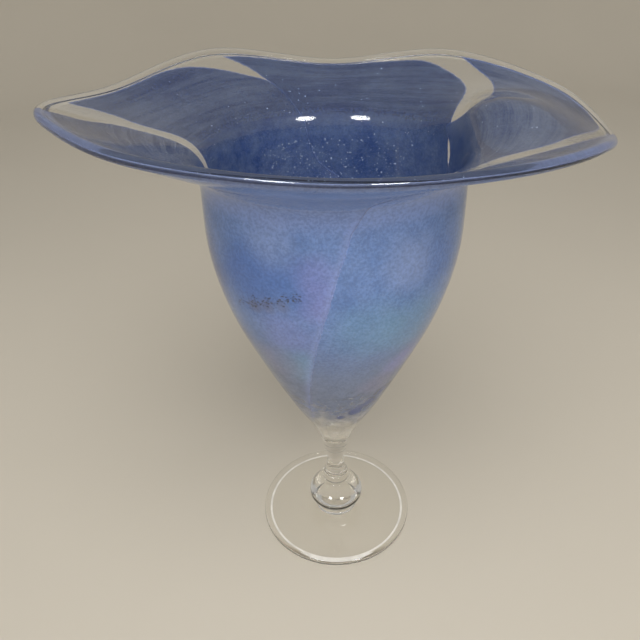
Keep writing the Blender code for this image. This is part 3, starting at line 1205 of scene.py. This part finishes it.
GAP_D_FRONT: Knots = ((0.1, 232), (0.3, 246), (0.5, 256), (0.703, 264.5), (0.807, 269), (0.895, 272.5),
                      (0.97, 276), (1.1, 280), (1.3, 284), (1.5, 294), (1.65, 313), (1.78, 327),
                      (1.88, 339), (1.94, 352), (2.0, 366))
GAP_D_RIGHT: Knots = ((0.1, 224.5), (0.3, 238.5), (0.5, 249), (0.703, 257.5), (0.807, 262), (0.895, 265.5),
                      (0.97, 269.5), (1.1, 274), (1.3, 279), (1.5, 296), (1.6, 315), (1.65, 323), (1.74, 329),
                      (1.81, 335), (1.87, 345), (1.92, 354), (1.96, 363), (2.0, 370))
RIGHT_FOLD: Knots = ((1.0, 362), (1.03, 369), (1.11, 368), (1.19, 366), (1.3, 367), (1.51, 371), (1.6, 377))

LAVENDER: Colour = (0.220, 0.240, 0.560)
TEAL: Colour = (0.150, 0.300, 0.470)
CORNFLOWER: Colour = (0.075, 0.155, 0.430)
PEARL: Colour = (0.270, 0.340, 0.580)
DUSK: Colour = (0.055, 0.085, 0.260)
MAUVE: Colour = (0.190, 0.200, 0.340)
SMOKE: Colour = (0.120, 0.140, 0.250)

FRONT_SPOTS = (Spot(-128, 0.216, 0.026, CORNFLOWER, 0.9), Spot(-106, 0.214, 0.020, CORNFLOWER, 0.7),
               Spot(-97, 0.222, 0.015, LAVENDER, 0.45), Spot(-94, 0.205, 0.016, LAVENDER, 0.6),
               Spot(-112, 0.186, 0.022, LAVENDER, 0.35), Spot(-106, 0.160, 0.022, TEAL, 0.6),
               Spot(-122, 0.160, 0.020, MAUVE, 0.5), Spot(-115, 0.236, 0.018, PEARL, 0.3),
               Spot(-126, 0.199, 0.006, SMOKE, 0.7), Spot(-119, 0.2015, 0.006, SMOKE, 0.65),
               Spot(-112, 0.204, 0.006, SMOKE, 0.55), Spot(-168, 0.205, 0.034, DUSK, 0.8),
               Spot(-158, 0.170, 0.022, DUSK, 0.4))
RIGHT_SPOTS = (Spot(-14, 0.205, 0.024, DUSK, 0.35), Spot(-74, 0.190, 0.027, TEAL, 0.45),
               Spot(-52, 0.186, 0.027, TEAL, 0.5), Spot(-58, 0.224, 0.020, PEARL, 0.4),
               Spot(-40, 0.220, 0.016, CORNFLOWER, 0.5),
               Spot(-44, 0.155, 0.018, LAVENDER, 0.7), Spot(-58, 0.140, 0.016, MAUVE, 0.7),
               Spot(-46, 0.128, 0.008, DUSK, 0.9, True), Spot(-56, 0.120, 0.009, DUSK, 0.9, True),
               Spot(-68, 0.113, 0.009, DUSK, 0.9, True), Spot(-84, 0.108, 0.006, DUSK, 0.8, True))

GORES = (
    Gore("blue_back", "colour_patch_back", GAP_C_BACK, GAP_B_BACK,
         BlueFrit("mottled_blue_back", pale=(0.130, 0.190, 0.370), brim_deep=(0.005, 0.015, 0.080),
                  brim_pale=(0.040, 0.072, 0.145)),
         top=((0.0, 1.93), (0.25, 1.955), (1.0, 1.962))),
    Gore("blue_left", "colour_patch_left", GAP_B_LEFT, GAP_A_BACK,
         BlueFrit("mottled_blue_left", brim_deep=(0.010, 0.022, 0.085), brim_pale=(0.060, 0.088, 0.160)),
         under=True),
    Gore("blue_front", "colour_patch_front", GAP_A_FRONT, GAP_D_FRONT,
         BlueFrit("mottled_blue_front", spots=FRONT_SPOTS), top=((0.0, 1.97), (1.0, 1.97)), into_lip=True),
    Gore("blue_right", "colour_patch_right", GAP_D_RIGHT, GAP_C_RIGHT,
         BlueFrit("mottled_blue_right", brim_cover=0.93, spots=RIGHT_SPOTS),
         top=((0.0, 1.96), (0.2, 1.975), (1.0, 1.975)), under=True, folds=(RIGHT_FOLD,)),
)


@dataclass
class Seeds:
    """Small bubbles shut in the wall, each copied from one.

    They fill the span of azimuths and ways, or, with a band, lie along its diagonal and stray by the band.
    """

    name: str
    slot: str
    finish: Bubble
    count: int
    azimuths: Pair
    ways: Pair
    radii: Pair
    depth: float
    stretch: float = 1.0
    band: float = 0.0

    def build(self, form: BowlForm, rng: np.random.Generator) -> bpy.types.Object:
        """Scatter the bubbles and join them into one piece.

        Args:
            form: The bowl's form.
            rng: The seeded source of random numbers.

        Returns:
            The piece.
        """
        deselect_all()
        bpy.ops.mesh.primitive_uv_sphere_add(segments=8, ring_count=5, radius=1.0)
        obj = bpy.context.object
        obj.name = obj.data.name = self.name
        points = np.empty(len(obj.data.vertices) * 3)
        obj.data.vertices.foreach_get("co", points)
        points = points.reshape(-1, 3)
        faces = [np.array(face.vertices) for face in obj.data.polygons]
        share = rng.random(self.count)
        azimuth = self.azimuths[0] + share * (self.azimuths[1] - self.azimuths[0])
        if self.band:
            way = self.ways[0] + share * (self.ways[1] - self.ways[0]) + rng.normal(0, self.band, self.count)
        else:
            way = self.ways[0] + rng.random(self.count) * (self.ways[1] - self.ways[0])
        size = self.radii[0] + (self.radii[1] - self.radii[0]) * rng.random(self.count) ** 2.5
        centre = form.at(azimuth, way, self.depth)
        normal = form.normal(azimuth, way)
        all_points, all_faces = [], []
        for i in range(self.count):
            across = Vector(normal[i]).cross(Vector((0, 0, 1))).normalized()
            lay = Matrix((across, Vector(normal[i]).cross(across), Vector(normal[i]))).transposed()
            shape = points * size[i] * (self.stretch, 1.0, 0.7)
            all_points.append(shape @ np.array(lay).T + centre[i])
            all_faces += [tuple(face + i * len(points)) for face in faces]
        mesh = bpy.data.meshes.new(self.name)
        mesh.from_pydata(np.concatenate(all_points).tolist(), [], [[int(v) for v in f] for f in all_faces])
        obj.data = mesh
        mesh.materials.append(self.finish.build())
        finish_mesh(obj, merge=1e-8)
        register(obj, self.slot)
        return obj


@dataclass
class Leg:
    """The clear stem, collar, knop, ring and foot, turned one by one and fused at their joints.

    Outlines are pairs of radius and height in metres. seat_fillet is the fillet's width and its height.
    """

    glass: ClearGlass = ClearGlass("clear_leg_glass", tint=(0.955, 0.950, 0.935), bump=0.04, wave_scale=90.0)
    foot_glass: ClearGlass = ClearGlass("clear_foot_glass", bump=0.08, wave_scale=60.0)
    neck_radius: float = 0.0066
    collar_radius: float = 0.0088
    ring_radius: float = 0.0140
    knop_centre: float = 0.0172
    knop_radii: Pair = (0.0177, 0.0110)
    foot_radius: float = 0.0500
    stem_foot_radius: float = 0.0078
    stem_waist: Knots = ((0.0068, 0.0378), (0.0061, 0.0405), (0.0055, 0.0460), (0.0057, 0.0520))
    knop_span: Pair = (-59.7, 54)
    knop_shoulder: Knots = ((0.0079, 0.0268), (0.0069, 0.0277))
    foot_edge: float = 0.0042
    foot_top: Knots = ((0.0445, 0.0035), (0.034, 0.0033), (0.022, 0.0038), (0.0160, 0.0044))
    seat_fillet: Pair = (0.0012, 0.0047)
    foot_hollow: float = 0.0012
    hollow_power: float = 1.4
    hollow_start: float = 0.002
    contact_radius: float = 0.0465
    # Span about the contact radius where the painted caustic ring lies.
    caustic_ring_band: Pair = (-0.0012, 0.0004)

    def dress(self, obj: bpy.types.Object, glass: bpy.types.Material, joint: bpy.types.Material,
              joints: list[Pair], slot: str, node: str) -> None:
        """Give a turned piece its glass and its fused faces.

        Args:
            obj: The piece.
            glass: Material of its surface.
            joint: Material of the fused faces.
            joints: Height and radius of each fused disc.
            slot: The record's material slot.
            node: The CAD node it replaces.
        """
        obj.data.materials.append(glass)
        obj.data.materials.append(joint)
        set_joint_faces(obj, joints)
        register(obj, slot, node)

    def build(self, form: BowlForm, groups: Groups, joint: bpy.types.Material) -> None:
        """Turn the five pieces.

        Args:
            form: The bowl's form, whose base the stem meets.
            groups: The shader node groups.
            joint: Material of the fused faces.
        """
        glass, foot_glass = self.glass.build(groups), self.foot_glass.build(groups)
        z_foot, z_ring = between("foot", "lower_merese"), between("lower_merese", "knop")
        z_knop, z_collar = between("knop", "upper_merese"), between("upper_merese", "stem")
        z_stem = between("stem", "inner_casing")
        base_r = form.body[0][0]

        line = curve_through(np.array([(self.stem_foot_radius, z_collar), *self.stem_waist,
                                       (base_r, z_stem)]), 8)
        stem = turn("clear_stem", [tuple(p) for p in line])
        self.dress(stem, glass, joint, [(z_collar, self.stem_foot_radius), (z_stem, base_r)], "clear_stem",
                   "stem")

        half = (z_collar - z_knop) / 2
        edge = arc((self.collar_radius - half, z_knop + half), (half, half), -90, 90, 16)
        edge = [(max(r, self.neck_radius), z) for r, z in edge]
        top_disc = (self.stem_foot_radius, z_collar)
        collar = turn("clear_collar", [(self.neck_radius, z_knop)] + edge[1:-1] + [top_disc])
        self.dress(collar, glass, joint, [(z_knop, self.neck_radius), (z_collar, self.stem_foot_radius)],
                   "clear_collar", "upper_merese")

        ball = arc((0.0, self.knop_centre), self.knop_radii, *self.knop_span, 26)
        contact = ball[0][0]
        shoulder = curve_through(np.array([*ball[-2:], *self.knop_shoulder, (self.neck_radius, z_knop)]), 5)
        knop = turn("clear_knop", [(contact, z_ring)] + ball[:-2] + [tuple(p) for p in shoulder])
        self.dress(knop, glass, joint, [(z_ring, contact), (z_knop, self.neck_radius)], "clear_knop", "knop")

        half = (z_ring - z_foot) / 2
        edge = arc((self.ring_radius - half, z_foot + half), (half, half), -90, 90, 12)
        seat = edge[0][0]
        ring = turn("clear_ring", edge + [(contact, z_ring)])
        self.dress(ring, glass, joint, [(z_foot, seat), (z_ring, contact)], "clear_ring", "lower_merese")

        half = self.foot_edge / 2
        under = [(r, self.foot_hollow * (1 - (r / self.contact_radius) ** 2) ** self.hollow_power)
                 for r in np.linspace(self.hollow_start, self.contact_radius, 60)]
        rim = arc((self.foot_radius - half, half), (half, half), -90, 90, 20)
        fillet = (seat + self.seat_fillet[0], self.seat_fillet[1])
        top = curve_through(np.array([rim[-1], *self.foot_top, fillet, (seat, z_foot)]), 8)
        foot = turn("clear_foot", under + rim[:-1] + [tuple(p) for p in top], 160)
        self.dress(foot, foot_glass, joint, [(z_foot, seat)], "clear_foot", "foot")
        # Paint the ring of caustic light on the foot's underside faces around the contact radius.
        foot.data.materials.append(PaintedCausticRing().build())
        low, high = (self.contact_radius + step for step in self.caustic_ring_band)
        set_band_faces(foot, low, high, self.foot_hollow / 2, 2)


# ---------------------------------------------------------------- studio


@dataclass
class Studio:
    """The round pale sweep, the soft light, the two small ceiling lights and the camera."""

    middle_radius: float = 0.2
    floor_radius: float = 1.7
    cove_radius: float = 0.5
    wall_height: float = 0.75
    floor_gap: float = 0.0004
    aim_height: float = 0.15
    lens: float = 35.3
    sensor: float = 36.0
    clip_start: float = 0.01
    camera_place: tuple[float, float, float] = (0.0, -0.2959, 0.3560)
    pitch: float = 33.9
    yaw: float = -1.6
    roll: float = -1.38

    def build_sweep(self) -> None:
        """Make the floor, its cove and the wall as one turned sheet."""
        flat = self.floor_radius - self.cove_radius
        profile = [(r, 0.0) for r in np.linspace(self.middle_radius, flat, 6)]
        profile += arc((flat, self.cove_radius), (self.cove_radius, self.cove_radius), -90, 0, 16)[1:]
        profile += [(self.floor_radius, self.wall_height)]
        sweep = lay_disc("studio_sweep", self.middle_radius, -self.floor_gap, 128)
        draw_up(profile)
        bpy.ops.object.mode_set(mode="OBJECT")
        bpy.ops.object.shade_smooth()
        sweep.data.materials.append(StudioPaint().build())
        deselect_all()

    def build_light(self, name: str, place: tuple[float, float, float], size: float, power: float,
                    colour: Colour, seen: bool) -> None:
        """Add a round lamp that points at the vase.

        Args:
            name: Name of the lamp.
            place: Where it hangs.
            size: Its diameter.
            power: Its power in watts.
            colour: Its colour.
            seen: Whether glass mirrors and refracts it.
        """
        data = bpy.data.lights.new(name, "AREA")
        data.shape, data.size, data.energy, data.color = "DISK", size, power, colour
        lamp = bpy.data.objects.new(name, data)
        lamp.location = place
        aim = Vector((0, 0, self.aim_height)) - Vector(place)
        lamp.rotation_euler = aim.to_track_quat("-Z", "Y").to_euler()
        lamp.visible_glossy = lamp.visible_transmission = seen
        lamp.visible_camera = False
        lamp.visible_diffuse = not seen
        bpy.context.scene.collection.objects.link(lamp)

    def build_world(self) -> None:
        """Light the room softly, brighter overhead than at the walls."""
        world = bpy.data.worlds.new("studio_room")
        world.use_nodes = True
        graph = Graph(world.node_tree)
        split = graph.add("ShaderNodeSeparateXYZ")
        graph.feed(split.inputs[0], graph.add("ShaderNodeTexCoord").outputs["Generated"])
        low = graph.blend(graph.ramp(split.outputs["Z"], 0.30, 0.60), (0.42, 0.41, 0.385), (0.43, 0.42, 0.40))
        tone = graph.blend(graph.ramp(split.outputs["Z"], 0.62, 0.97), low, (0.51, 0.50, 0.485))
        background = world.node_tree.nodes["Background"]
        graph.feed(background.inputs["Color"], tone)
        graph.feed(background.inputs["Strength"], 1.0)
        bpy.context.scene.world = world

    def build_camera(self) -> None:
        """Place the camera."""
        pitch, yaw, roll = (math.radians(v) for v in (self.pitch, self.yaw, self.roll))
        forward = Vector((math.sin(yaw) * math.cos(pitch), math.cos(yaw) * math.cos(pitch), -math.sin(pitch)))
        right = forward.cross(Vector((0, 0, 1))).normalized()
        up = right.cross(forward)
        side = right * math.cos(roll) + up * math.sin(roll)
        top = -right * math.sin(roll) + up * math.cos(roll)
        data = bpy.data.cameras.new("studio_camera")
        data.lens, data.sensor_width, data.clip_start = self.lens, self.sensor, self.clip_start
        camera = bpy.data.objects.new("studio_camera", data)
        turn_to = Matrix((side, top, -forward)).transposed().to_4x4()
        camera.matrix_world = Matrix.Translation(self.camera_place) @ turn_to
        bpy.context.scene.collection.objects.link(camera)
        bpy.context.scene.camera = camera

    def build(self) -> None:
        """Make the whole studio."""
        self.build_camera()
        self.build_sweep()
        self.build_world()
        self.build_light("soft_key", (0.05, -0.48, 0.92), size=0.8, power=6.1, colour=(1.0, 0.97, 0.92),
                         seen=False)
        self.build_light("soft_front", (0.0, -1.2, 0.20), size=1.0, power=7.0, colour=(1.0, 0.98, 0.96),
                         seen=False)
        for name, x in (("ceiling_light_left", -0.52), ("ceiling_light_right", 0.52)):
            self.build_light(name, (x, -0.98, 0.98), size=0.38, power=9.0, colour=(1.0, 1.0, 1.0), seen=True)
        view = bpy.context.scene.view_settings
        view.view_transform = "Standard"
        cycles = bpy.context.scene.cycles
        cycles.transparent_max_bounces = 48
        cycles.max_bounces = 24
        cycles.transmission_bounces = 20


# ---------------------------------------------------------------- main


def main() -> None:
    """Build the vase and its studio."""
    logging.basicConfig(level=logging.INFO, format="%(name)s %(message)s")
    rng = np.random.default_rng(SEED)
    groups, form, joint = Groups(), BowlForm(), fused_joint()
    Studio().build()
    bowl = Bowl(form)
    bowl.build_clear(groups, joint)
    bowl.build_casing(groups, joint)
    for gore in GORES:
        gore.build(form, groups)
    Leg().build(form, groups, joint)
    glint = Bubble("seed_glint", (0.58, 0.70, 0.95), 0.85)
    Seeds("seed_bubbles_back", "clear_bowl", glint, count=330, azimuths=(50, 130), ways=(0.78, 1.02),
          radii=(0.00022, 0.00050), depth=0.0026).build(form, rng)
    Seeds("seed_bubbles_all", "clear_bowl", glint, count=260, azimuths=(0, 360), ways=(0.35, 1.9),
          radii=(0.00020, 0.00042), depth=0.0022).build(form, rng)
    smoke = Bubble("bubble_streak_grey", (0.090, 0.105, 0.170), 0.55)
    Seeds("bubble_streak", "lustred_casing", smoke, count=150, azimuths=(-137, -103), ways=(0.760, 0.842),
          radii=(0.00016, 0.00040), depth=0.0007, stretch=1.6, band=0.009).build(form, rng)


if __name__ == "__main__":
    main()
